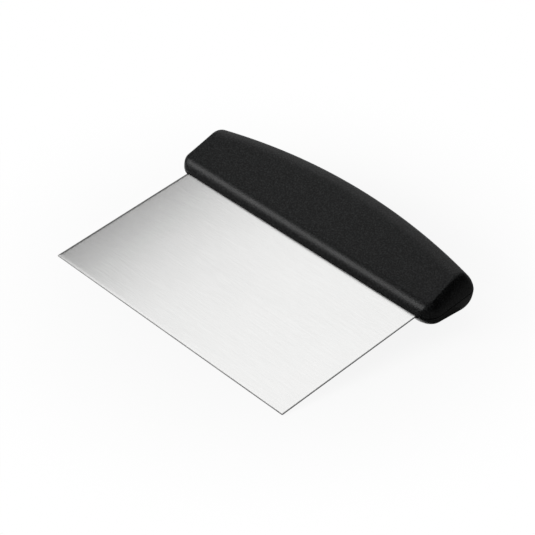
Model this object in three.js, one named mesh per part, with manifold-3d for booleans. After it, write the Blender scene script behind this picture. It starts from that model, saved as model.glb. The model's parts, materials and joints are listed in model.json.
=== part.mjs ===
// Dough scraper: a stainless sheet blade held between the two moulded halves of an arched handle.
// Sizes are in millimetres. The pieces are drawn with the blade level: x runs along the working edge,
// y from that edge back to the handle, and z is square to the sheet, with zero half way through it.
// At the end the tool is laid down as it rests on a bench, on its working edge and the handle's back.

import * as THREE from 'three';
import { mergeVertices } from 'three/addons/utils/BufferGeometryUtils.js';
import Module from 'manifold-3d';

const wasm = await Module();
wasm.setup();

// Blade: the bare sheet, and the tang that the handle holds
const BLADE_WIDTH = 150;
const BLADE_REACH = 79;
const BLADE_THICKNESS = 0.9;
const TANG_DEPTH = 24;
const TANG_CHAMFER = 6;
const TANG_HOLE_RADIUS = 3;
const BARE_FACE_MARGIN = 1;

// Handle outline at the parting line: two sides that close in a little, and an arched back
const FRONT_HALF_WIDTH = 82.7;
const BACK_HALF_WIDTH = 82.1;
const SIDE_DEPTH = 29.9;
const ARCH_RISE = 10.3;
const FRONT_CORNER = { parting: 8.2, top: 2.5 };
const BACK_CORNER = { parting: 3.5, top: 4 };
const CORNER_CHANGE = { upper: 3, lower: 1 };

// Handle section: half the thickness grows in a straight taper from nose to back. From the parting line to
// the flat top the edge follows a quarter of a superellipse. Its depth in plan, its fullness (2 is a plain
// ellipse) and a straight mould draft are given for nose and back.
const NOSE_HALF_THICKNESS = 5.1;
const BACK_HALF_THICKNESS = 15.6;
const EDGE_DEPTH = { nose: 5, back: 10.8 };
const EDGE_FULLNESS = { nose: 2, end: 2.5, back: 2.3 };
const DRAFT = { nose: 0.4, back: 1.2 };

// Ends: those of the upper half bow in to a crisp crease, with a draft that grows with the square of the
// height. Those of the lower half are round, with a straight draft.
const END_DEPTH = { upper: { front: 1.5, back: 2.1 }, lower: { front: 4.2, back: 6.5 } };
const END_DRAFT = { upper: 2.6, lower: 1.2 };
const END_BOW = { upper: 2, lower: 1 };

// Inside of each half: wall thickness, ribs across the grip and a rib that the tang butts against
const NO_WALL = { nose: 0, end: 0, back: 0, top: 0 };
const HALF_WAY_IN_WALL = { nose: 1.5, end: 1.5, back: 1.5, top: 1.3 };
const WALL = { nose: 6, end: 3, back: 3, top: 2.6 };
const LEAST_RADIUS = 1;
const RIB_THICKNESS = 1.8;
const RIB_PITCH = 15;
const RIB_COUNT = 10;

// Pegs of the lower half go through the tang into the sockets of the upper half
const PEG_SPACING = 45;
const PEG_COUNT = 3;
const PEG_SETBACK = 13;
const PEG_RADIUS = 2.7;
const PEG_LENGTH = 5;
const PEG_TIP_CHAMFER = 0.6;
const BOSS_RADIUS = 5;

// Joint between the halves: a lip of the lower half stands inside the wall of the upper half
const GAP = 0.3;
const LIP_INSET = 1.8;
const LIP_THICKNESS = 1;
const LIP_HEIGHT = 1.3;
const LIP_SETBACK = 12;
const REBATE_DEPTH = 4.6;

// Steps in the round stretches of the outside, and of what is hidden inside
const FINE = { corner: 10, arch: 18, edge: 14 };
const COARSE = { corner: 5, arch: 8, edge: 4 };
const CYLINDER_SIDES = 24;

// How far a cutting or joining form reaches past what it meets, and the distance at which points are one
const OVERRUN = 1;
const MERGE_DISTANCE = 1e-4;

// Values worked out from the driving dimensions
const HANDLE_DEPTH = SIDE_DEPTH + ARCH_RISE;
const BACK_Y = BLADE_REACH + HANDLE_DEPTH;
const BARE_FACE_END = BLADE_REACH - BARE_FACE_MARGIN;
const PARTING_Z = GAP / 2;
const SKIRT_Z = -2 * OVERRUN;
const SLOT_HALF_HEIGHT = BLADE_THICKNESS / 2 + GAP;
const TAPER = (BACK_HALF_THICKNESS - NOSE_HALF_THICKNESS) / HANDLE_DEPTH;
const ARCH_RADIUS = (BACK_HALF_WIDTH ** 2 + ARCH_RISE ** 2) / (2 * ARCH_RISE);
const ARCH_CENTRE = new THREE.Vector2(0, BACK_Y - ARCH_RADIUS);

const lerp = THREE.MathUtils.lerp;

// Half the handle's thickness at a distance y from the working edge
function halfThickness(y) {
  return NOSE_HALF_THICKNESS + TAPER * (y - BLADE_REACH);
}

// Points of an arc. Along it, the share of one zone of the outline gives way smoothly to the next.
function arcPoints(centre, radius, startAngle, endAngle, steps, startZone, endZone) {
  const points = [];
  for (let i = 0; i <= steps; i++) {
    const angle = lerp(startAngle, endAngle, i / steps);
    const share = THREE.MathUtils.smoothstep(i / steps, 0, 1);
    const zones = { nose: 0, end: 0, back: 0 };
    zones[startZone] += 1 - share;
    zones[endZone] += share;
    points.push({ x: centre.x + radius * Math.cos(angle), y: centre.y + radius * Math.sin(angle), zones });
  }
  return points;
}

// Handle outline drawn in by its own amount at nose, ends and back, anticlockwise from the nose's right.
// Each point carries the shares of nose, end and back at its place.
function outline(inset, frontCorner, backCorner, steps) {
  const sideStart = new THREE.Vector2(FRONT_HALF_WIDTH - inset.endFront, BLADE_REACH);
  const sideEnd = new THREE.Vector2(BACK_HALF_WIDTH - inset.endBack, BLADE_REACH + SIDE_DEPTH);
  const direction = sideEnd.sub(sideStart).normalize();
  const normal = new THREE.Vector2(direction.y, -direction.x);
  const sideAngle = Math.atan2(normal.y, normal.x);
  const sideOffset = normal.dot(sideStart);
  const front = new THREE.Vector2(0, BLADE_REACH + inset.nose + frontCorner);
  front.x = (sideOffset - frontCorner - normal.y * front.y) / normal.x;

  // The back corner's centre is where the side and the arch, both drawn in by its radius, meet
  const archRadius = ARCH_RADIUS - inset.back;
  const foot = normal.multiplyScalar(sideOffset - backCorner).sub(ARCH_CENTRE);
  const along = foot.dot(direction);
  const reach = Math.sqrt(along ** 2 - foot.lengthSq() + (archRadius - backCorner) ** 2) - along;
  const back = foot.addScaledVector(direction, reach).add(ARCH_CENTRE);
  const archStart = Math.atan2(back.y - ARCH_CENTRE.y, back.x);

  const right = [
    ...arcPoints(front, frontCorner, -Math.PI / 2, sideAngle, steps.corner, 'nose', 'end'),
    ...arcPoints(back, backCorner, sideAngle, archStart, steps.corner, 'end', 'back'),
    ...arcPoints(ARCH_CENTRE, archRadius, archStart, Math.PI / 2, steps.arch, 'back', 'back').slice(1),
  ];
  const left = right.slice(0, -1).reverse().map((point) => ({ ...point, x: -point.x }));
  return [...right, ...left];
}

// Outline at the parting line, drawn in by the same amount all round
function parallelOutline(inset) {
  const insets = { nose: inset, endFront: inset, endBack: inset, back: inset };
  const corners = [FRONT_CORNER, BACK_CORNER].map(({ parting }) => Math.max(parting - inset, LEAST_RADIUS));
  return outline(insets, ...corners, COARSE).map(({ x, y }) => new THREE.Vector2(x, y));
}

// One ring of a half, at an angle from 0 at the parting line to a right angle at the flat top
function sectionRing(half, wall, steps, angle) {
  const rise = (fullness) => Math.sin(angle) ** (2 / fullness);
  const fall = (fullness) => 1 - Math.max(Math.cos(angle), 0) ** (2 / fullness);
  const insetOf = (zone, depth, draft, bow) => {
    const fullness = EDGE_FULLNESS[zone];
    return wall[zone] + depth * fall(fullness) + draft * rise(fullness) ** bow;
  };
  const endInset = (place) => insetOf('end', END_DEPTH[half][place], END_DRAFT[half], END_BOW[half]);
  const inset = {
    nose: insetOf('nose', EDGE_DEPTH.nose, DRAFT.nose, 1),
    endFront: endInset('front'),
    endBack: endInset('back'),
    back: insetOf('back', EDGE_DEPTH.back, DRAFT.back, 1),
  };
  const cornerShare = 1 - Math.max(Math.cos(angle), 0) ** CORNER_CHANGE[half];
  const corners = [FRONT_CORNER, BACK_CORNER].map(({ parting, top }) => {
    return Math.max(lerp(parting, top, cornerShare) - wall.end, LEAST_RADIUS);
  });
  return outline(inset, ...corners, steps).map(({ x, y, zones }) => {
    const fullness = Object.keys(zones).reduce((sum, zone) => sum + zones[zone] * EDGE_FULLNESS[zone], 0);
    return new THREE.Vector3(x, y, (halfThickness(y) - wall.top) * rise(fullness));
  });
}

// Closed skin over rings of equally many points, with flat caps on the first and the last
function loftGeometry(rings) {
  const count = rings[0].length;
  const positions = rings.flat().flatMap((point) => [point.x, point.y, point.z]);
  const indices = [];
  for (let ring = 0; ring + 1 < rings.length; ring++) {
    for (let i = 0; i < count; i++) {
      const a = ring * count + i;
      const b = ring * count + ((i + 1) % count);
      indices.push(a, b, b + count, a, b + count, a + count);
    }
  }
  const lastStart = (rings.length - 1) * count;
  for (const [a, b, c] of THREE.ShapeUtils.triangulateShape(rings[0], [])) {
    indices.push(c, b, a);
  }
  for (const [a, b, c] of THREE.ShapeUtils.triangulateShape(rings.at(-1), [])) {
    indices.push(lastStart + a, lastStart + b, lastStart + c);
  }
  const geometry = new THREE.BufferGeometry();
  geometry.setAttribute('position', new THREE.Float32BufferAttribute(positions, 3));
  geometry.setIndex(indices);
  return geometry;
}

// Form of one half, its outside or the inside of a wall. A straight skirt runs on below the middle plane.
function halfForm(half, wall, steps) {
  const rings = [sectionRing(half, wall, steps, 0).map((point) => point.setZ(SKIRT_Z))];
  for (let i = 0; i <= steps.edge; i++) {
    rings.push(sectionRing(half, wall, steps, (i / steps.edge) * Math.PI / 2));
  }
  return loftGeometry(rings);
}

// Solid for joining and cutting, from a closed geometry
function solid(geometry) {
  const bare = geometry.clone();
  bare.deleteAttribute('normal');
  bare.deleteAttribute('uv');
  const merged = mergeVertices(bare, MERGE_DISTANCE);
  return new wasm.Manifold(new wasm.Mesh({
    numProp: 3,
    vertProperties: new Float32Array(merged.attributes.position.array),
    triVerts: new Uint32Array(merged.index.array),
  }));
}

// Geometry of a finished solid
function solidGeometry(body) {
  const mesh = body.getMesh();
  const geometry = new THREE.BufferGeometry();
  geometry.setAttribute('position', new THREE.BufferAttribute(new Float32Array(mesh.vertProperties), 3));
  geometry.setIndex(new THREE.BufferAttribute(new Uint32Array(mesh.triVerts), 1));
  geometry.computeVertexNormals();
  return geometry;
}

// Box between two corners
function boxBetween(low, high) {
  const size = high.map((value, axis) => value - low[axis]);
  const geometry = new THREE.BoxGeometry(...size);
  return solid(geometry.translate(...low.map((value, axis) => value + size[axis] / 2)));
}

// Upright round bar over one peg's place, between two heights
function barAtPeg(x, radius, lowZ, highZ) {
  const geometry = new THREE.CylinderGeometry(radius, radius, highZ - lowZ, CYLINDER_SIDES);
  geometry.rotateX(Math.PI / 2);
  return solid(geometry.translate(x, BLADE_REACH + PEG_SETBACK, (lowZ + highZ) / 2));
}

// Band that follows the parting line between two insets, behind the front corners, between two heights
function rimBand(outerInset, innerInset, setback, lowZ, highZ) {
  const shape = new THREE.Shape(parallelOutline(outerInset));
  shape.holes.push(new THREE.Path(parallelOutline(innerInset)));
  const geometry = new THREE.ExtrudeGeometry(shape, { depth: highZ - lowZ, bevelEnabled: false });
  const front = boxBetween(
    [-FRONT_HALF_WIDTH, BLADE_REACH, lowZ - OVERRUN],
    [FRONT_HALF_WIDTH, BLADE_REACH + setback, highZ + OVERRUN],
  );
  return solid(geometry.translate(0, 0, lowZ)).subtract(front);
}

// Places along x, evenly spaced about the middle
function spaced(count, pitch) {
  return Array.from({ length: count }, (_, i) => (i - (count - 1) / 2) * pitch);
}

const PEG_PLACES = spaced(PEG_COUNT, PEG_SPACING);

// What both halves share: a hollow wall with ribs and bosses inside, and the slot for the blade
function handleHalf(side) {
  const outside = solid(halfForm(side, NO_WALL, FINE));
  const inside = solid(halfForm(side, WALL, COARSE));
  const rootedInWall = solid(halfForm(side, HALF_WAY_IN_WALL, COARSE));
  const stopY = BLADE_REACH + TANG_DEPTH + GAP;
  const stiffeners = [
    boxBetween(
      [-FRONT_HALF_WIDTH, stopY, -OVERRUN],
      [FRONT_HALF_WIDTH, stopY + RIB_THICKNESS, BACK_HALF_THICKNESS],
    ),
    ...spaced(RIB_COUNT, RIB_PITCH).map((x) => boxBetween(
      [x - RIB_THICKNESS / 2, BLADE_REACH, -OVERRUN],
      [x + RIB_THICKNESS / 2, BACK_Y, BACK_HALF_THICKNESS],
    )),
    ...PEG_PLACES.map((x) => barAtPeg(x, BOSS_RADIUS, -OVERRUN, BACK_HALF_THICKNESS)),
  ];
  let half = outside.subtract(inside);
  for (const stiffener of stiffeners) {
    half = half.add(stiffener.intersect(rootedInWall));
  }
  const belowParting = boxBetween(
    [-FRONT_HALF_WIDTH - OVERRUN, BLADE_REACH - OVERRUN, SKIRT_Z - OVERRUN],
    [FRONT_HALF_WIDTH + OVERRUN, BACK_Y + OVERRUN, PARTING_Z],
  );
  const slotHalfWidth = BLADE_WIDTH / 2 + GAP;
  const slot = boxBetween(
    [-slotHalfWidth, BLADE_REACH - OVERRUN, -OVERRUN],
    [slotHalfWidth, stopY, SLOT_HALF_HEIGHT],
  );
  return half.subtract(belowParting).subtract(slot);
}

// Upper half: sockets for the pegs, and a rebate along the rim for the lip
function upperHalf() {
  let half = handleHalf('upper');
  for (const x of PEG_PLACES) {
    half = half.subtract(barAtPeg(x, PEG_RADIUS + GAP, -OVERRUN, PEG_LENGTH + GAP));
  }
  const rebate = rimBand(LIP_INSET - GAP, REBATE_DEPTH, LIP_SETBACK - GAP, -OVERRUN, LIP_HEIGHT + GAP);
  return solidGeometry(half.subtract(rebate));
}

// Lower half, drawn upside down: pegs and lip stand out past the parting line
function lowerHalf() {
  const tip = PEG_RADIUS - PEG_TIP_CHAMFER;
  const profile = [
    new THREE.Vector2(0, -PEG_LENGTH),
    new THREE.Vector2(tip, -PEG_LENGTH),
    new THREE.Vector2(PEG_RADIUS, PEG_TIP_CHAMFER - PEG_LENGTH),
    new THREE.Vector2(PEG_RADIUS, SLOT_HALF_HEIGHT + OVERRUN),
    new THREE.Vector2(0, SLOT_HALF_HEIGHT + OVERRUN),
  ];
  let half = handleHalf('lower');
  for (const x of PEG_PLACES) {
    const peg = new THREE.LatheGeometry(profile, CYLINDER_SIDES).rotateX(Math.PI / 2);
    half = half.add(solid(peg.translate(x, BLADE_REACH + PEG_SETBACK, 0)));
  }
  const lip = rimBand(LIP_INSET, LIP_INSET + LIP_THICKNESS, LIP_SETBACK, -LIP_HEIGHT, PARTING_Z + OVERRUN);
  return solidGeometry(half.add(lip));
}

// Flat sheet over panels that share their edges: both faces, and a wall along every edge of one panel only
function sheetGeometry(panels, thickness) {
  const positions = [];
  const numbers = new Map();
  const numberOf = (point) => {
    const key = `${point.x.toFixed(4)},${point.y.toFixed(4)}`;
    if (!numbers.has(key)) {
      numbers.set(key, numbers.size);
      positions.push(point.x, point.y, thickness / 2, point.x, point.y, -thickness / 2);
    }
    return numbers.get(key);
  };
  const triangles = panels.flatMap((panel) => {
    const { shape, holes } = panel.extractPoints(CYLINDER_SIDES / 2);
    const faces = THREE.ShapeUtils.triangulateShape(shape, holes);
    const points = [...shape, ...holes.flat()];
    return faces.map((face) => face.map((corner) => numberOf(points[corner])));
  });
  const edgesOf = ([a, b, c]) => [[a, b], [b, c], [c, a]];
  const edges = new Set(triangles.flatMap(edgesOf).map(([a, b]) => `${a}>${b}`));
  const indices = [];
  for (const triangle of triangles) {
    const [a, b, c] = triangle.map((number) => 2 * number);
    indices.push(a, b, c, c + 1, b + 1, a + 1);
    for (const [start, end] of edgesOf(triangle)) {
      if (!edges.has(`${end}>${start}`)) {
        indices.push(2 * start, 2 * start + 1, 2 * end + 1, 2 * start, 2 * end + 1, 2 * end);
      }
    }
  }
  const geometry = new THREE.BufferGeometry();
  geometry.setAttribute('position', new THREE.Float32BufferAttribute(positions, 3));
  geometry.setIndex(indices);
  geometry.computeVertexNormals();
  return geometry;
}

// Blade: the bare face in front, and behind it the tang with a hole for each peg
function blade() {
  const side = BLADE_WIDTH / 2;
  const tangEnd = BLADE_REACH + TANG_DEPTH;
  const bare = new THREE.Shape();
  bare.moveTo(-side, 0).lineTo(side, 0).lineTo(side, BARE_FACE_END).lineTo(-side, BARE_FACE_END);
  const tang = new THREE.Shape();
  tang.moveTo(-side, BARE_FACE_END).lineTo(side, BARE_FACE_END);
  tang.lineTo(side, tangEnd - TANG_CHAMFER).lineTo(side - TANG_CHAMFER, tangEnd);
  tang.lineTo(TANG_CHAMFER - side, tangEnd).lineTo(-side, tangEnd - TANG_CHAMFER);
  for (const x of PEG_PLACES) {
    const hole = new THREE.Path();
    hole.absarc(x, BLADE_REACH + PEG_SETBACK, TANG_HOLE_RADIUS, 0, 2 * Math.PI, true);
    tang.holes.push(hole);
  }
  return sheetGeometry([bare, tang], BLADE_THICKNESS);
}

const steel = new THREE.MeshStandardMaterial({ color: 0xc9c9c7, roughness: 0.35, metalness: 1 });
const blackPlastic = new THREE.MeshStandardMaterial({ color: 0x222324, roughness: 0.6, metalness: 0 });

function named(name, geometry, material) {
  const mesh = new THREE.Mesh(geometry, material);
  mesh.name = name;
  return mesh;
}

// Angle of the sheet to the bench: the steepest line from under the working edge to the lower half
function restAngle(lower) {
  const point = new THREE.Vector3();
  const places = lower.geometry.attributes.position;
  let angle = 0;
  lower.updateMatrix();
  for (let i = 0; i < places.count; i++) {
    point.fromBufferAttribute(places, i).applyMatrix4(lower.matrix);
    angle = Math.max(angle, Math.atan2(-point.z - BLADE_THICKNESS / 2, point.y));
  }
  return angle;
}

const lowerShell = named('lower_handle_half', lowerHalf(), blackPlastic.clone());
lowerShell.rotation.y = Math.PI;

const scraper = new THREE.Group();
scraper.add(named('blade', blade(), steel));
scraper.add(named('upper_handle_half', upperHalf(), blackPlastic));
scraper.add(lowerShell);
scraper.rotation.x = restAngle(lowerShell);

// Stand the tool on the bench, with the middle of its footprint at the origin
const box = new THREE.Box3().setFromObject(scraper, true);
scraper.position.set(0, -(box.min.y + box.max.y) / 2, -box.min.z);

export default scraper;
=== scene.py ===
# Dough scraper: a satin steel blade in a fine-matt black handle of two halves, lying on a white bench.
# Units are metres. Pieces are worked out in the tool's own frame: x runs along the working edge, y from
# that edge back to the handle, and z is square to the sheet. Then they are laid down as the tool rests.

import json
import math

import bpy
import numpy as np
from mathutils import Matrix, Vector
from mathutils.geometry import tessellate_polygon


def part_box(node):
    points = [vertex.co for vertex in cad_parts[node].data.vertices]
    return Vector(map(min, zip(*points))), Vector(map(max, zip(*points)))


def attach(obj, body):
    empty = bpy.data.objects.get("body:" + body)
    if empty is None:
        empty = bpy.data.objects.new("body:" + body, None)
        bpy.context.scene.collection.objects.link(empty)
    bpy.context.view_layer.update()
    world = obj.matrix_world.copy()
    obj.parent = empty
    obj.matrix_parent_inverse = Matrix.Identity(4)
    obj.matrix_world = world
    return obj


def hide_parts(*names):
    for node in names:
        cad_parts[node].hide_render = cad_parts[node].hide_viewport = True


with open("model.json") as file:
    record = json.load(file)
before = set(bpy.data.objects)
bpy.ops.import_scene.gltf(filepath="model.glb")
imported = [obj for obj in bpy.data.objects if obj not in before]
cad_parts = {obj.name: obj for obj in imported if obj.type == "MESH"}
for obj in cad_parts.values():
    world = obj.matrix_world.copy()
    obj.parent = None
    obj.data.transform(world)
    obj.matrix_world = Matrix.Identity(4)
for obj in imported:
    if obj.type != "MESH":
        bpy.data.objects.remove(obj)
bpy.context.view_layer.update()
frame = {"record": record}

# Blade: bare sheet, tang, peg holes, and its sheared edges, rolled off in a shallow quarter ellipse
BLADE_REACH = 0.079
BLADE_THICKNESS = 0.0009
TANG_DEPTH = 0.024
TANG_CHAMFER = 0.006
PEG_HOLE_RADIUS = 0.003
PEG_SPACING = 0.045
PEG_SETBACK = 0.013
BLADE_CORNER = 0.0005
BLADE_ROLL_WIDTH = 0.0015
BLADE_ROLL_DEPTH = 0.0004
BLADE_FACE_INSET = 0.002
LEAST_BLADE_CORNER = 0.00005

# Handle outline at the parting line: two sides that close in a little, and an arched back
FRONT_HALF_WIDTH = 0.0827
BACK_HALF_WIDTH = 0.0821
SIDE_DEPTH = 0.0299
ARCH_RISE = 0.0103
FRONT_CORNER = {"parting": 0.0082, "top": 0.0025}
BACK_CORNER = {"parting": 0.0035, "top": 0.004}
LEAST_CORNER = 0.001
CORNER_CHANGE = {"upper": 3, "lower": 1}

# Handle section: a straight taper from nose to back, and a superelliptic edge all round
NOSE_HALF_THICKNESS = 0.0051
BACK_HALF_THICKNESS = 0.0156
EDGE_DEPTH = {"nose": 0.005, "back": 0.0108}
EDGE_FULLNESS = {"nose": 2, "end": 2.5, "back": 2.3}
DRAFT = {"nose": 0.0004, "back": 0.0012}

# Ends: the upper half's bow in to a crisp crease, the lower half's are round
END_DEPTH = {"upper": {"front": 0.0015, "back": 0.0021}, "lower": {"front": 0.0042, "back": 0.0065}}
END_DRAFT = {"upper": 0.0026, "lower": 0.0012}
END_BOW = {"upper": 2, "lower": 1}
WALL = {"nose": 0.006, "end": 0.003, "back": 0.003, "top": 0.0026}

# Joint of the halves: half the seam's width, half the slot for the blade, and the rim's rounding
GAP = 0.0003
PARTING_Z = GAP / 2
SLOT_HALF_HEIGHT = BLADE_THICKNESS / 2 + GAP
RIM_ROUND = 0.00015
SLOT_END_STEP = 0.003

# Steps of the grids. Nose and front bend together have as many as back bend and arch.
NOSE, FRONT_BEND, SIDE, BACK_BEND, ARCH = range(5)
STRETCH_STEPS = (44, 20, 16, 14, 50)
RIM_STEPS = 4
EDGE_STEPS = 28
INSIDE_STEPS = 10
TOP_STEPS = 7
TOP_SPINE_SHARE = 0.85
BLADE_ROUND_STEPS = 5
BLADE_ROLL_STEPS = 8
HOLE_STEPS = 32

# Blade finish: grooves ground along it, cloudy shine, and the edge where the sheet was sheared, which is
# rougher and painted darker as painted shade
GROOVE_PITCH = 0.00065
GROOVE_LENGTH = 0.012
GROOVE_DEPTH = 0.000025
STEEL_TONES = ((0.67, 0.67, 0.665, 1), (0.73, 0.73, 0.725, 1))
STEEL_ROUGHNESS = (0.2, 0.24)
STEEL_CLOUD_FINENESS = 30.0
SHEARED_AND_SHADED_EDGE = "sheared_and_shaded_edge"
# Painted shade: the sheared edges' colour is darkened and stands in for the shade and dark mirror image along
# them. Their roughness is the shear's own.
PAINTED_EDGE_SHADE_TONE = (0.15, 0.15, 0.15, 1)
SHEARED_ROUGHNESS = 0.45
SHEARED_AND_SHADED_STEEPNESS = (0.83, 0.98)

# Handle finish: the pebble of its mould, whose tops are painted lighter in specks, as painted glints
PEBBLE_PITCH = 0.0007
PEBBLE_DEPTH = 0.00007
# Black tone of the plastic, and the lighter tone of the painted glints on the pebble's tops
PLASTIC_TONE_AND_GLINT = ((0.0012, 0.0013, 0.0014, 1), (0.018, 0.019, 0.0193, 1))
PLASTIC_ROUGHNESS = (0.3, 0.38)
PLASTIC_CLOUD_FINENESS = 60.0
PLASTIC_SPECULAR = 0.1
PAINTED_GLINT_GRAIN = (0.42, 0.72)

# Noise of both finishes
GRAIN_DETAIL = 2.0
GRAIN_ROUGHNESS = 0.6

# Camera: as the photograph looks at the tool
CAMERA_AIM = Vector((-0.0036, 0.0051, 0))
CAMERA_AZIMUTH = math.radians(47.48)
CAMERA_ELEVATION = math.radians(36.81)
CAMERA_ROLL = math.radians(-0.27)
CAMERA_DISTANCE = 0.8583
CAMERA_LENS = 127.87
CAMERA_SENSOR = 36

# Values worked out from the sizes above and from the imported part
HANDLE_DEPTH = SIDE_DEPTH + ARCH_RISE
TAPER = (BACK_HALF_THICKNESS - NOSE_HALF_THICKNESS) / HANDLE_DEPTH
ARCH_RADIUS = (BACK_HALF_WIDTH ** 2 + ARCH_RISE ** 2) / (2 * ARCH_RISE)
ARCH_CENTRE_Y = BLADE_REACH + HANDLE_DEPTH - ARCH_RADIUS
BLADE_LOW, BLADE_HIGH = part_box("blade")
BLADE_HALF_WIDTH = (BLADE_HIGH.x - BLADE_LOW.x) / 2
FACE_NORMAL = next(m for m in frame["record"]["mounts"] if m["name"] == "blade_upper_face")["axis"]
REST_TILT = math.atan2(-FACE_NORMAL[1], FACE_NORMAL[2])


def lay_down(points):
    """Points of the tool's frame, turned about x by the rest tilt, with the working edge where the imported
    part has it."""
    x, y, z = np.asarray(points, float).T
    edge_y = BLADE_LOW.y + BLADE_THICKNESS / 2 * math.sin(REST_TILT)
    edge_z = BLADE_LOW.z + BLADE_THICKNESS / 2 * math.cos(REST_TILT)
    laid_y = edge_y + y * math.cos(REST_TILT) - z * math.sin(REST_TILT)
    laid_z = edge_z + y * math.sin(REST_TILT) + z * math.cos(REST_TILT)
    return np.stack([x, laid_y, laid_z], axis=1)


def add_mesh(name, points, faces, material):
    """Smooth mesh object from an array of points and a list of faces."""
    mesh = bpy.data.meshes.new(name)
    mesh.from_pydata(points.tolist(), [], faces)
    mesh.shade_smooth()
    mesh.materials.append(material)
    mesh.update()
    piece = bpy.data.objects.new(name, mesh)
    bpy.context.scene.collection.objects.link(piece)
    return piece


def ring_quads(ids):
    """Quads between the rows of a grid of vertex numbers whose columns close on themselves."""
    lower = ids[:-1]
    upper = ids[1:]
    quads = [lower, np.roll(lower, -1, axis=1), np.roll(upper, -1, axis=1), upper]
    return np.stack(quads, axis=-1).reshape(-1, 4)


# Handle halves

def half_thickness(y):
    """Half the handle's thickness: a straight taper from the nose to the back."""
    return NOSE_HALF_THICKNESS + TAPER * (y - BLADE_REACH)


def outline_columns():
    """Stretch and share along it of each column, from the middle of the nose round the right end to the
    middle of the back. Two columns of the front bend stand close on either side of the slot's end."""
    stretch = np.append(np.repeat(np.arange(len(STRETCH_STEPS)), STRETCH_STEPS), ARCH)
    share = np.concatenate([np.linspace(0, 1, steps, endpoint=False) for steps in STRETCH_STEPS] + [[1.0]])
    bend_start = FRONT_HALF_WIDTH - FRONT_CORNER["parting"]
    slot_end = math.asin((BLADE_HALF_WIDTH + GAP - bend_start) / FRONT_CORNER["parting"]) / (math.pi / 2)
    first = STRETCH_STEPS[NOSE] + 1
    share[first:first + 2] = slot_end + SLOT_END_STEP * np.array([-1, 1])
    return stretch, share


STRETCH, SHARE = outline_columns()
SMOOTH_SHARE = SHARE ** 2 * (3 - 2 * SHARE)
ZONE_SHARE = {
    "nose": np.choose(STRETCH, [1, 1 - SMOOTH_SHARE, 0, 0, 0]),
    "end": np.choose(STRETCH, [0, SMOOTH_SHARE, 1, 1 - SMOOTH_SHARE, 0]),
    "back": np.choose(STRETCH, [0, 0, 0, SMOOTH_SHARE, 1]),
}
COLUMN_FULLNESS = sum(ZONE_SHARE[zone] * EDGE_FULLNESS[zone] for zone in ZONE_SHARE)


def handle_skin(half, angle, wall):
    """Right side of a half's skin, drawn in by a wall at nose, ends, back and top, as x, y and z.

    A point stands at an angle, from 0 at the parting line to a right angle at the flat top, and in a
    column of the outline. Nose, ends and back are each drawn in by the edge's depth times
    1 - cos(angle) ** (2 / n), plus the draft times sin(angle) ** (2 / n), where n is the edge's fullness.
    On ends that bow, the draft grows with a higher power of the height.
    The outline through these places is a straight nose, a round bend, a straight side, a second bend
    and an arc over the back. The height is half the thickness times sin(angle) ** (2 / n).
    """
    cosine = np.clip(np.cos(angle), 0, None)
    sine = np.sin(angle)

    def drawn_in(zone, depth, draft, bow=1):
        fullness = EDGE_FULLNESS[zone]
        return wall[zone] + depth * (1 - cosine ** (2 / fullness)) + draft * sine ** (2 * bow / fullness)

    def end_drawn_in(place):
        return drawn_in("end", END_DEPTH[half][place], END_DRAFT[half], END_BOW[half])

    def corner(radius):
        share = 1 - cosine ** CORNER_CHANGE[half]
        outer = radius["parting"] + (radius["top"] - radius["parting"]) * share
        return np.maximum(outer - wall["end"], LEAST_CORNER)

    nose_y = BLADE_REACH + drawn_in("nose", EDGE_DEPTH["nose"], DRAFT["nose"])
    side_x = FRONT_HALF_WIDTH - end_drawn_in("front")
    run_x = BACK_HALF_WIDTH - end_drawn_in("back") - side_x
    length = np.hypot(run_x, SIDE_DEPTH)
    along_x = run_x / length
    along_y = SIDE_DEPTH / length
    side_offset = along_y * side_x - along_x * BLADE_REACH
    side_angle = np.arctan2(-along_x, along_y)

    front_corner = corner(FRONT_CORNER)
    front_y = nose_y + front_corner
    front_x = (side_offset - front_corner + along_x * front_y) / along_y

    back_corner = corner(BACK_CORNER)
    arch_radius = ARCH_RADIUS - drawn_in("back", EDGE_DEPTH["back"], DRAFT["back"])
    foot_x = along_y * (side_offset - back_corner)
    foot_y = -along_x * (side_offset - back_corner) - ARCH_CENTRE_Y
    advance = foot_x * along_x + foot_y * along_y
    reach = np.sqrt(advance ** 2 - foot_x ** 2 - foot_y ** 2 + (arch_radius - back_corner) ** 2) - advance
    back_x = foot_x + along_x * reach
    back_y = foot_y + along_y * reach + ARCH_CENTRE_Y
    arch_start = np.arctan2(back_y - ARCH_CENTRE_Y, back_x)

    front_turn = -math.pi / 2 + (side_angle + math.pi / 2) * SHARE
    back_turn = side_angle + (arch_start - side_angle) * SHARE
    arch_turn = arch_start + (math.pi / 2 - arch_start) * SHARE
    side_start_x = front_x + front_corner * along_y
    side_start_y = front_y - front_corner * along_x
    side_end_x = back_x + back_corner * along_y
    side_end_y = back_y - back_corner * along_x
    x = np.choose(STRETCH, [
        front_x * SHARE,
        front_x + front_corner * np.cos(front_turn),
        side_start_x + (side_end_x - side_start_x) * SHARE,
        back_x + back_corner * np.cos(back_turn),
        arch_radius * np.cos(arch_turn),
    ])
    y = np.choose(STRETCH, [
        nose_y,
        front_y + front_corner * np.sin(front_turn),
        side_start_y + (side_end_y - side_start_y) * SHARE,
        back_y + back_corner * np.sin(back_turn),
        ARCH_CENTRE_Y + arch_radius * np.sin(arch_turn),
    ])
    z = (half_thickness(y) - wall["top"]) * sine ** (2 / COLUMN_FULLNESS)
    return np.stack([x, y, z], axis=-1)


def angle_at(half, height, wall):
    """Angle at which each column of a half's skin reaches a height above the middle plane."""
    at_parting = handle_skin(half, np.zeros((1, len(SHARE))), wall)
    full_height = half_thickness(at_parting[..., 1]) - wall["top"]
    return np.arcsin(np.clip(height / full_height, 0, 1) ** (COLUMN_FULLNESS / 2))


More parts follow.
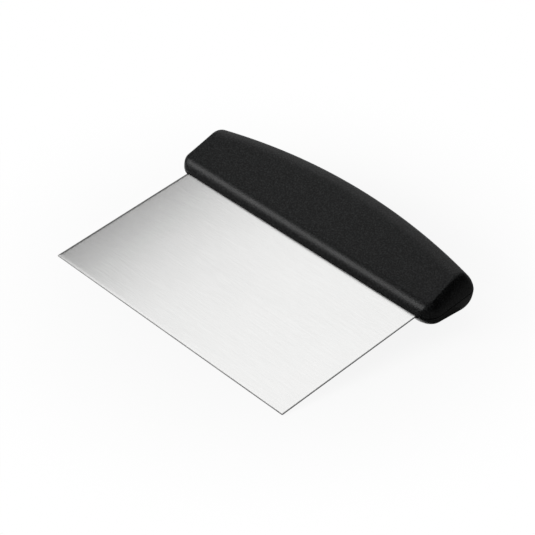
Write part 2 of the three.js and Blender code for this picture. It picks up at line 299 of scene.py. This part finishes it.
def flat_top(ring, top_wall):
    """Rows from the last ring of the skin in to a spine along the middle of the flat top.

    Each column runs straight to the spine, where it meets the column across from it. Heights follow
    the taper, so all points lie in the plane of the top.
    """
    x, y = (ring + ring[::-1])[:, :2].T / 2
    column = np.arange(len(ring))
    even_x = x.max() * np.minimum(column, column[::-1]) / (len(ring) // 2)
    spine = np.stack([TOP_SPINE_SHARE * (x + even_x) / 2, y], axis=-1)
    share = np.linspace(0, 1, TOP_STEPS + 1)[1:, None, None]
    plan = ring[:, :2] + (spine - ring[:, :2]) * share
    height = half_thickness(plan[..., 1:]) - top_wall
    return np.concatenate([plan, height], axis=-1)


def handle_half(half):
    """Points and faces of a half that lies on its rim: from the spine of its hollow down to the rim, round
    the rim's small rounding, and up the outside to the spine of its top."""
    no_wall = dict.fromkeys(WALL, 0)
    parting = handle_skin(half, np.zeros((1, len(SHARE))), no_wall)[0]
    in_slot = (STRETCH <= FRONT_BEND) & (parting[:, 0] < BLADE_HALF_WIDTH + GAP)
    rim = np.where(in_slot, SLOT_HALF_HEIGHT, PARTING_Z)

    turn = np.linspace(0, math.pi / 2, RIM_STEPS + 1)[:, None]
    rounding = RIM_ROUND * (1 - np.sin(turn))
    rim_angle = angle_at(half, rim + RIM_ROUND * (1 - np.cos(turn)), no_wall)
    rise = np.linspace(0, 1, EDGE_STEPS + 1)[1:, None]
    edge_angle = rim_angle[-1] + (math.pi / 2 - rim_angle[-1]) * rise
    drawn_in = np.vstack([rounding, np.zeros((EDGE_STEPS, 1))])
    outside_wall = {"nose": drawn_in, "end": drawn_in, "back": drawn_in, "top": 0}
    outside = handle_skin(half, np.vstack([rim_angle, edge_angle]), outside_wall)
    outside = np.concatenate([outside, flat_top(outside[-1], 0)])

    low_angle = angle_at(half, rim, WALL)
    inside_rise = np.linspace(0, 1, INSIDE_STEPS + 1)[:, None]
    inside = handle_skin(half, low_angle + (math.pi / 2 - low_angle) * inside_rise, WALL)
    inside = np.concatenate([inside, flat_top(inside[-1], WALL["top"])])

    right = np.concatenate([inside[::-1], outside])
    left = right[:, -2:0:-1] * [-1, 1, 1]
    grid = np.concatenate([right, left], axis=1)
    rows, columns = grid.shape[:2]

    # On the two spines, a column and the one across from it share their vertex, and so do the three at
    # each end, where two quads become triangles
    last = len(SHARE) - 1
    from_middle = np.arange(columns)
    from_middle = np.minimum(from_middle, columns - from_middle)
    near = np.minimum(np.minimum(from_middle, last - from_middle), last // 2 - 1)
    shared = np.where(np.arange(columns) <= last, near, (columns - near) % columns)
    ids = np.arange(rows * columns).reshape(rows, columns)
    ids[0] = ids[0][shared]
    ids[-1] = ids[-1][shared]
    used, quads = np.unique(ring_quads(ids), return_inverse=True)
    faces = [list(dict.fromkeys(quad)) for quad in quads.reshape(-1, 4).tolist()]
    return grid.reshape(-1, 3)[used], faces


def add_handle_half(name, half, material):
    """One half of the handle. The lower one is turned over, by mirroring it in the sheet's middle plane."""
    points, faces = handle_half(half)
    if half == "lower":
        points = points * [1, 1, -1]
        faces = [face[::-1] for face in faces]
    piece = add_mesh(name, lay_down(points), faces, material)
    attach(piece, "root")
    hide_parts(f"{half}_handle_half")
    return piece


# Blade

def rounded_outline(corners, drawn_in):
    """Rows of an anticlockwise outline with an arc at each corner, each drawn in by its own amount.

    A side drawn in meets the next one a length drawn_in * tan(turn / 2) before the corner. The arc has
    the corner's radius less that amount, starts a length radius * tan(turn / 2) before the meeting, and
    turns from one side's direction to the next.
    """
    leaving = np.roll(corners, -1, axis=0) - corners
    leaving = leaving / np.linalg.norm(leaving, axis=1, keepdims=True)
    arriving = np.roll(leaving, 1, axis=0)
    left = np.stack([-arriving[:, 1], arriving[:, 0]], axis=1)
    turn = np.arccos(np.clip(np.sum(arriving * leaving, axis=1, keepdims=True), -1, 1))
    inset = drawn_in[:, None, None]
    radius = np.maximum(BLADE_CORNER - inset, LEAST_BLADE_CORNER)
    centre = corners + left * (inset + radius) - arriving * (inset + radius) * np.tan(turn / 2)
    first_angle = np.arctan2(-arriving[:, :1], arriving[:, 1:])
    angle = first_angle + turn * np.linspace(0, 1, BLADE_ROUND_STEPS + 1)
    normals = np.stack([np.cos(angle), np.sin(angle)], axis=-1)
    rows = centre[:, :, None] + radius[..., None] * normals
    return rows.reshape(len(drawn_in), -1, 2)


def hole(x, y, drawn_in):
    """Rows of a clockwise circle round a peg's place, each wider by its own amount."""
    angle = np.linspace(0, -2 * math.pi, HOLE_STEPS, endpoint=False)
    radius = PEG_HOLE_RADIUS + drawn_in[:, None]
    return np.stack([x + radius * np.cos(angle), y + radius * np.sin(angle)], axis=-1)


def sheet_profile():
    """Rows of a sheet's edge from under face to upper face: how far each is drawn in, and its height.

    Each edge is rolled off by a quarter ellipse, and one row more lies on the flat face.
    """
    turn = np.linspace(0, math.pi / 2, BLADE_ROLL_STEPS + 1)
    drawn_in = np.append(BLADE_FACE_INSET, BLADE_ROLL_WIDTH * (1 - np.sin(turn)))
    height = np.append(0, BLADE_ROLL_DEPTH * (1 - np.cos(turn))) - BLADE_THICKNESS / 2
    return np.append(drawn_in, drawn_in[::-1]), np.append(height, -height[::-1])


def add_blade(name, material):
    """Blade sheet: a rolled edge carried along its outline and along each peg hole, and two flat faces.

    Its edge attribute is 0 on the faces and grows with the sine of the roll's turn to 1 on the upright edge.
    """
    side = BLADE_HALF_WIDTH
    back = BLADE_REACH + TANG_DEPTH
    corners = np.array([
        [-side, 0], [side, 0], [side, back - TANG_CHAMFER], [side - TANG_CHAMFER, back],
        [TANG_CHAMFER - side, back], [-side, back - TANG_CHAMFER],
    ])
    drawn_in, height = sheet_profile()
    loops = [rounded_outline(corners, drawn_in)]
    loops += [hole(x, BLADE_REACH + PEG_SETBACK, drawn_in) for x in (-PEG_SPACING, 0, PEG_SPACING)]
    steepness = np.clip(1 - drawn_in / BLADE_ROLL_WIDTH, 0, 1)
    points = []
    shear_and_shade = []
    faces = []
    upper_loops = []
    upper_ids = []
    count = 0
    for plan in loops:
        rows = np.broadcast_to(height[:, None, None], (*plan.shape[:2], 1))
        grid = np.concatenate([plan, rows], axis=-1)
        ids = count + np.arange(grid[..., 0].size).reshape(plan.shape[:2])
        points.append(grid.reshape(-1, 3))
        shear_and_shade.append(np.repeat(steepness, plan.shape[1]))
        faces += ring_quads(ids).tolist()
        upper_loops.append([Vector(point) for point in grid[-1]])
        upper_ids.append(ids[-1])
        count += ids.size
    points = np.concatenate(points)

    # The same triangles close the upper face and, turned round, the under face
    under_ids = np.concatenate([ids - ids.size * (len(height) - 1) for ids in upper_ids])
    upper_ids = np.concatenate(upper_ids)
    triangles = np.array(tessellate_polygon(upper_loops))
    a, b, c = points[upper_ids[triangles]][..., :2].transpose(1, 0, 2)
    turned = np.cross(b - a, c - a) < 0
    triangles[turned] = triangles[turned][:, ::-1]
    faces += upper_ids[triangles].tolist()
    faces += under_ids[triangles[:, ::-1]].tolist()
    piece = add_mesh(name, lay_down(points), faces, material)
    # The edge attribute places the shear's roughness and its painted shade
    edge = piece.data.attributes.new(SHEARED_AND_SHADED_EDGE, "FLOAT", "POINT")
    edge.data.foreach_set("value", np.concatenate(shear_and_shade))
    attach(piece, "root")
    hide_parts("blade")
    return piece


# Materials

def add_node(tree, kind, inputs=(), **settings):
    """Node of a kind, with its settings, and with its inputs set to values or linked from sockets."""
    node = tree.nodes.new(kind)
    for setting, value in settings.items():
        setattr(node, setting, value)
    for socket, value in dict(inputs).items():
        if isinstance(value, bpy.types.NodeSocket):
            tree.links.new(value, node.inputs[socket])
        else:
            node.inputs[socket].default_value = value
    return node


def grain_group():
    """Fine grain and slow clouds over a surface: noise whose pitch, and length along x, are inputs."""
    group = bpy.data.node_groups.new("surface_grain", "ShaderNodeTree")
    group.interface.new_socket("Position", in_out="INPUT", socket_type="NodeSocketVector")
    group.interface.new_socket("Fineness", in_out="INPUT", socket_type="NodeSocketVector")
    group.interface.new_socket("Cloud Fineness", in_out="INPUT", socket_type="NodeSocketFloat")
    group.interface.new_socket("Grain", in_out="OUTPUT", socket_type="NodeSocketFloat")
    group.interface.new_socket("Cloud", in_out="OUTPUT", socket_type="NodeSocketFloat")
    given = add_node(group, "NodeGroupInput")
    fine_place = add_node(group, "ShaderNodeVectorMath", {
        0: given.outputs["Position"], 1: given.outputs["Fineness"],
    }, operation="MULTIPLY")
    fine = add_node(group, "ShaderNodeTexNoise", {
        "Vector": fine_place.outputs[0], "Scale": 1.0, "Detail": GRAIN_DETAIL, "Roughness": GRAIN_ROUGHNESS,
    })
    slow = add_node(group, "ShaderNodeTexNoise", {
        "Vector": given.outputs["Position"], "Scale": given.outputs["Cloud Fineness"],
        "Detail": GRAIN_DETAIL,
    })
    add_node(group, "NodeGroupOutput", {"Grain": fine.outputs["Fac"], "Cloud": slow.outputs["Fac"]})
    return group


SURFACE_GRAIN = grain_group()


def new_material(name):
    """Material with a Principled shader, and Object coordinates to place its pattern."""
    material = bpy.data.materials.new(name)
    material.use_nodes = True
    tree = material.node_tree
    shader = tree.nodes["Principled BSDF"]
    place = add_node(tree, "ShaderNodeTexCoord")
    return material, tree, shader, place.outputs["Object"]


def placed_grain(tree, position, fineness, cloud_fineness):
    """The surface grain group placed in a material with its own values."""
    return add_node(tree, "ShaderNodeGroup", {
        "Position": position, "Fineness": fineness, "Cloud Fineness": cloud_fineness,
    }, node_tree=SURFACE_GRAIN)


def ranged(tree, value, limits):
    """A value of 0 to 1 brought to a range."""
    low, high = limits
    brought = add_node(tree, "ShaderNodeMapRange", {"Value": value, "To Min": low, "To Max": high})
    return brought.outputs["Result"]


def mask(tree, value, limits):
    """Mask of a value: 0 up to the lower limit, 1 from the upper one on."""
    low, high = limits
    masked = add_node(tree, "ShaderNodeMapRange", {"Value": value, "From Min": low, "From Max": high})
    return masked.outputs["Result"]


def toned(tree, share, tones):
    """Colour between two tones, the second one where the share is 1."""
    first, second = tones
    mix = add_node(tree, "ShaderNodeMix", {"Factor": share, "A": first, "B": second}, data_type="RGBA")
    return mix.outputs["Result"]


def add_relief(tree, shader, height, depth):
    """Bump of a depth, from a height of 0 to 1."""
    bump = add_node(tree, "ShaderNodeBump", {"Height": height, "Strength": 1.0, "Distance": depth})
    tree.links.new(bump.outputs["Normal"], shader.inputs["Normal"])


def satin_steel():
    """Stainless sheet, ground along its working edge: fine grooves along x spread its shine across them.
    Where the sheet was sheared it is rougher, and its colour is painted darker there, as painted shade."""
    material, tree, shader, position = new_material("satin_steel")
    fineness = (1 / GROOVE_LENGTH, 1 / GROOVE_PITCH, 1 / GROOVE_PITCH)
    grain = placed_grain(tree, position, fineness, STEEL_CLOUD_FINENESS)
    edge = add_node(tree, "ShaderNodeAttribute", attribute_name=SHEARED_AND_SHADED_EDGE)
    # The edge mask gives the shear's roughness and, in the colour, painted shade on the sheared edges
    shear_and_shade = mask(tree, edge.outputs["Fac"], SHEARED_AND_SHADED_STEEPNESS)
    ground_tone = toned(tree, grain.outputs["Grain"], STEEL_TONES)
    # Painted shade: the sheared edges get a darker colour
    tree.links.new(toned(tree, shear_and_shade, (ground_tone, PAINTED_EDGE_SHADE_TONE)), shader.inputs["Base Color"])
    ground = ranged(tree, grain.outputs["Cloud"], STEEL_ROUGHNESS)
    rough = add_node(tree, "ShaderNodeMix", {"Factor": shear_and_shade, "A": ground, "B": SHEARED_ROUGHNESS})
    tree.links.new(rough.outputs["Result"], shader.inputs["Roughness"])
    add_relief(tree, shader, grain.outputs["Grain"], GROOVE_DEPTH)
    shader.inputs["Metallic"].default_value = 1.0
    return material


def matt_black_plastic():
    """Moulded plastic with a spark-eroded skin: a fine pebble whose tops are painted lighter in specks, as
    painted glints.
    """
    material, tree, shader, position = new_material("matt_black_plastic")
    grain = placed_grain(tree, position, (1 / PEBBLE_PITCH,) * 3, PLASTIC_CLOUD_FINENESS)
    # Painted glints: the pebble's tops get a lighter colour
    painted_glints = mask(tree, grain.outputs["Grain"], PAINTED_GLINT_GRAIN)
    tree.links.new(toned(tree, painted_glints, PLASTIC_TONE_AND_GLINT), shader.inputs["Base Color"])
    roughness = ranged(tree, grain.outputs["Cloud"], PLASTIC_ROUGHNESS)
    tree.links.new(roughness, shader.inputs["Roughness"])
    add_relief(tree, shader, grain.outputs["Grain"], PEBBLE_DEPTH)
    shader.inputs["Specular IOR Level"].default_value = PLASTIC_SPECULAR
    return material


# Studio

FLOOR_INNER_RADIUS = 0.5
FLOOR_RADIUS = 6.0
FLOOR_BEND = 1.0
FLOOR_BEND_STEPS = 8
WALL_HEIGHT = 1.4
FLOOR_ROUND_STEPS = 64
FLOOR_COLOUR = (0.7, 0.7, 0.7, 1)
ROOM_RADIANCE = 0.1

# Share of plain white in a look at the floor: near by, far off, and the distances between which it changes
WHITE_SHARE = {
    "Is Camera Ray": (0.86, 1.0, 0.03, 0.17),
    "Is Glossy Ray": (0.0, 0.2, 0.5, 3.0),
    "Is Transmission Ray": (0.0, 0.2, 0.5, 3.0),
}

# Softboxes: level ones hang at a centre. The others stand at a distance and a bearing, which is an azimuth
# and an elevation in degrees, from the studio's middle, and face it. Each has its width, height and radiance.
STUDIO_MIDDLE = Vector((0, 0.03, 0.01))
ABOVE_LEFT = {"centre": (-0.2275, 0.12, 0.45), "size": (0.515, 0.6), "radiance": 1.2}
LEFT = {"distance": 0.9, "bearing": (-160, 25), "size": (0.8, 0.6), "radiance": 0.35}
NOSE_STRIP = {"distance": 0.75, "bearing": (-128, 26), "size": (0.5, 0.17), "radiance": 16.5}
BEHIND = {"distance": 1.2, "bearing": (128, 34), "size": (1.2, 1.0), "radiance": 1.0}
ABOVE_RIGHT = {"centre": (0.27, 0.12, 0.45), "size": (0.48, 0.6), "radiance": 0.15}
HIGH_RIGHT = {"distance": 1.2, "bearing": (42, 46), "size": (1.05, 0.6), "radiance": 0.15}
FILL = {"distance": 1.6, "size": (1.7, 1.2), "radiance": 0.7}
FILL_BEARINGS = ((92, 25), (-18, 25), (-75, 25), (-130, 25))
UNDER_BLADE = {"distance": 1.0, "bearing": (120, -35), "size": (1.0, 0.8), "radiance": 1.0}
UNDER_HANDLE = {"distance": 1.0, "bearing": (185, -55), "size": (1.0, 0.8), "radiance": 2.5}


def white_floor():
    """Pale paint. The camera sees it as nearly plain white, which keeps a faint shadow by the tool, and
    mirrors and glass see some of that white far off. From below it is clear, so that the tool's underside
    can be seen."""
    material = bpy.data.materials.new("white_floor")
    material.use_nodes = True
    tree = material.node_tree
    tree.nodes.clear()
    path = add_node(tree, "ShaderNodeLightPath")
    place = add_node(tree, "ShaderNodeTexCoord")
    distance = add_node(tree, "ShaderNodeVectorMath", {0: place.outputs["Object"]}, operation="LENGTH")
    share = 0.0
    for ray, (near_by, far_off, start, whole) in WHITE_SHARE.items():
        far = add_node(tree, "ShaderNodeMapRange", {
            "Value": distance.outputs["Value"], "From Min": start, "From Max": whole,
            "To Min": near_by, "To Max": far_off,
        }, interpolation_type="SMOOTHSTEP")
        seen = add_node(tree, "ShaderNodeMath", {
            0: far.outputs["Result"], 1: path.outputs[ray],
        }, operation="MULTIPLY")
        larger = add_node(tree, "ShaderNodeMath", {0: share, 1: seen.outputs[0]}, operation="MAXIMUM")
        share = larger.outputs[0]
    paint = add_node(tree, "ShaderNodeBsdfDiffuse", {"Color": FLOOR_COLOUR})
    white = add_node(tree, "ShaderNodeEmission", {"Color": (1, 1, 1, 1), "Strength": 1.0})
    mix = add_node(tree, "ShaderNodeMixShader", {0: share, 1: paint.outputs[0], 2: white.outputs[0]})
    side = add_node(tree, "ShaderNodeNewGeometry")
    clear = add_node(tree, "ShaderNodeBsdfTransparent")
    either = add_node(tree, "ShaderNodeMixShader", {
        0: side.outputs["Backfacing"], 1: mix.outputs[0], 2: clear.outputs[0],
    })
    add_node(tree, "ShaderNodeOutputMaterial", {"Surface": either.outputs[0]})
    return material


def add_floor():
    """Round floor that bends up, far off, into a low wall: a profile of floor, quarter circle and wall
    carried round the upright axis."""
    turn = np.linspace(0, math.pi / 2, FLOOR_BEND_STEPS + 1)
    bend_radius = FLOOR_RADIUS + FLOOR_BEND * np.sin(turn)
    radius = np.concatenate([[FLOOR_INNER_RADIUS], bend_radius, [FLOOR_RADIUS + FLOOR_BEND]])
    height = np.concatenate([[0.0], FLOOR_BEND * (1 - np.cos(turn)), [WALL_HEIGHT]])
    angle = np.linspace(0, 2 * math.pi, FLOOR_ROUND_STEPS, endpoint=False)
    x = radius[:, None] * np.cos(angle)
    y = radius[:, None] * np.sin(angle)
    z = np.broadcast_to(height[:, None], x.shape)
    points = np.stack([x, y, z], axis=-1).reshape(-1, 3)
    ids = np.arange(x.size).reshape(x.shape)
    faces = ring_quads(ids)[:, ::-1].tolist() + [ids[0].tolist()]
    floor = add_mesh("studio_floor", points, faces, white_floor())
    return floor


def bearing(azimuth, elevation):
    """Unit vector at an azimuth from the x axis and an elevation above the bench, both in degrees."""
    azimuth = math.radians(azimuth)
    elevation = math.radians(elevation)
    return Vector((
        math.cos(azimuth) * math.cos(elevation), math.sin(azimuth) * math.cos(elevation), math.sin(elevation),
    ))


def add_softbox(name, softbox, receivers=None):
    """Area lamp that shines evenly with its radiance, on everything or only on a group of receivers."""
    if "centre" in softbox:
        centre = Vector(softbox["centre"])
        aim = centre + Vector((0, 0, -1))
    else:
        centre = STUDIO_MIDDLE + softbox["distance"] * bearing(*softbox["bearing"])
        aim = STUDIO_MIDDLE
    width, height = softbox["size"]
    lamp = bpy.data.lights.new(name, "AREA")
    lamp.shape = "RECTANGLE"
    lamp.size = width
    lamp.size_y = height
    lamp.energy = softbox["radiance"] * math.pi * width * height
    holder = bpy.data.objects.new(name, lamp)
    holder.location = centre
    holder.rotation_euler = (aim - centre).to_track_quat("-Z", "Y").to_euler()
    holder.visible_camera = False
    bpy.context.scene.collection.objects.link(holder)
    if receivers is not None:
        holder.light_linking.receiver_collection = receivers
    return holder


def add_room():
    """Room round the studio: dim as a light, plain white where the camera sees it."""
    world = bpy.data.worlds.new("studio")
    world.use_nodes = True
    tree = world.node_tree
    path = add_node(tree, "ShaderNodeLightPath")
    strength = add_node(tree, "ShaderNodeMapRange", {
        "Value": path.outputs["Is Camera Ray"], "To Min": ROOM_RADIANCE, "To Max": 1.0,
    })
    background = tree.nodes["Background"]
    background.inputs["Color"].default_value = (1, 1, 1, 1)
    tree.links.new(strength.outputs["Result"], background.inputs["Strength"])
    bpy.context.scene.world = world


def group_of(name, pieces):
    """Collection of pieces that a softbox lights or is shaded by."""
    group = bpy.data.collections.new(name)
    for piece in pieces:
        group.objects.link(piece)
    return group


def add_studio_light(blade, handle_halves, floor):
    """Softboxes. The level one at the left, which the blade mirrors, and the left one light everything.

    A strip draws the highlight along the handle's nose and lights the floor with it, and a wide one behind
    lights the handle. For the blade alone there are dim ones at the right, whose mirror image darkens its
    right edge, and a ring that fills it in other views. Two under the bench light the undersides of blade
    and handle, and only the tool shades these.
    """
    blade_alone = group_of("blade_alone", [blade])
    handle = group_of("handle", handle_halves)
    tool = group_of("tool", [blade, *handle_halves])
    add_softbox("above_left_softbox", ABOVE_LEFT)
    add_softbox("left_softbox", LEFT)
    add_softbox("nose_softbox", NOSE_STRIP, group_of("handle_and_floor", [*handle_halves, floor]))
    add_softbox("back_softbox", BEHIND, handle)
    add_softbox("above_right_softbox", ABOVE_RIGHT, blade_alone)
    add_softbox("high_softbox", HIGH_RIGHT, blade_alone)
    for fill_bearing in FILL_BEARINGS:
        add_softbox("fill_softbox", {**FILL, "bearing": fill_bearing}, blade_alone)
    for softbox, lit in ((UNDER_BLADE, blade_alone), (UNDER_HANDLE, handle)):
        under = add_softbox("under_softbox", softbox, lit)
        under.light_linking.blocker_collection = tool


def add_camera():
    """Camera at the photograph's angle: azimuth and elevation about the aim, with a slight roll."""
    back = Vector((
        math.sin(CAMERA_AZIMUTH) * math.cos(CAMERA_ELEVATION),
        -math.cos(CAMERA_AZIMUTH) * math.cos(CAMERA_ELEVATION),
        math.sin(CAMERA_ELEVATION),
    ))
    lens = bpy.data.cameras.new("camera")
    lens.lens = CAMERA_LENS
    lens.sensor_width = CAMERA_SENSOR
    camera = bpy.data.objects.new("camera", lens)
    level = Vector((math.cos(CAMERA_AZIMUTH), math.sin(CAMERA_AZIMUTH), 0))
    upright = back.cross(level)
    right = level * math.cos(CAMERA_ROLL) + upright * math.sin(CAMERA_ROLL)
    turn = Matrix((right, back.cross(right), back)).transposed()
    camera.matrix_world = Matrix.Translation(CAMERA_AIM + back * CAMERA_DISTANCE) @ turn.to_4x4()
    bpy.context.scene.collection.objects.link(camera)
    bpy.context.scene.camera = camera


plastic = matt_black_plastic()
blade_sheet = add_blade("blade_sheet", satin_steel())
upper_shell = add_handle_half("upper_shell", "upper", plastic)
lower_shell = add_handle_half("lower_shell", "lower", plastic)
floor = add_floor()
add_room()
add_studio_light(blade_sheet, [upper_shell, lower_shell], floor)
add_camera()
bpy.context.scene.view_settings.view_transform = "Standard"
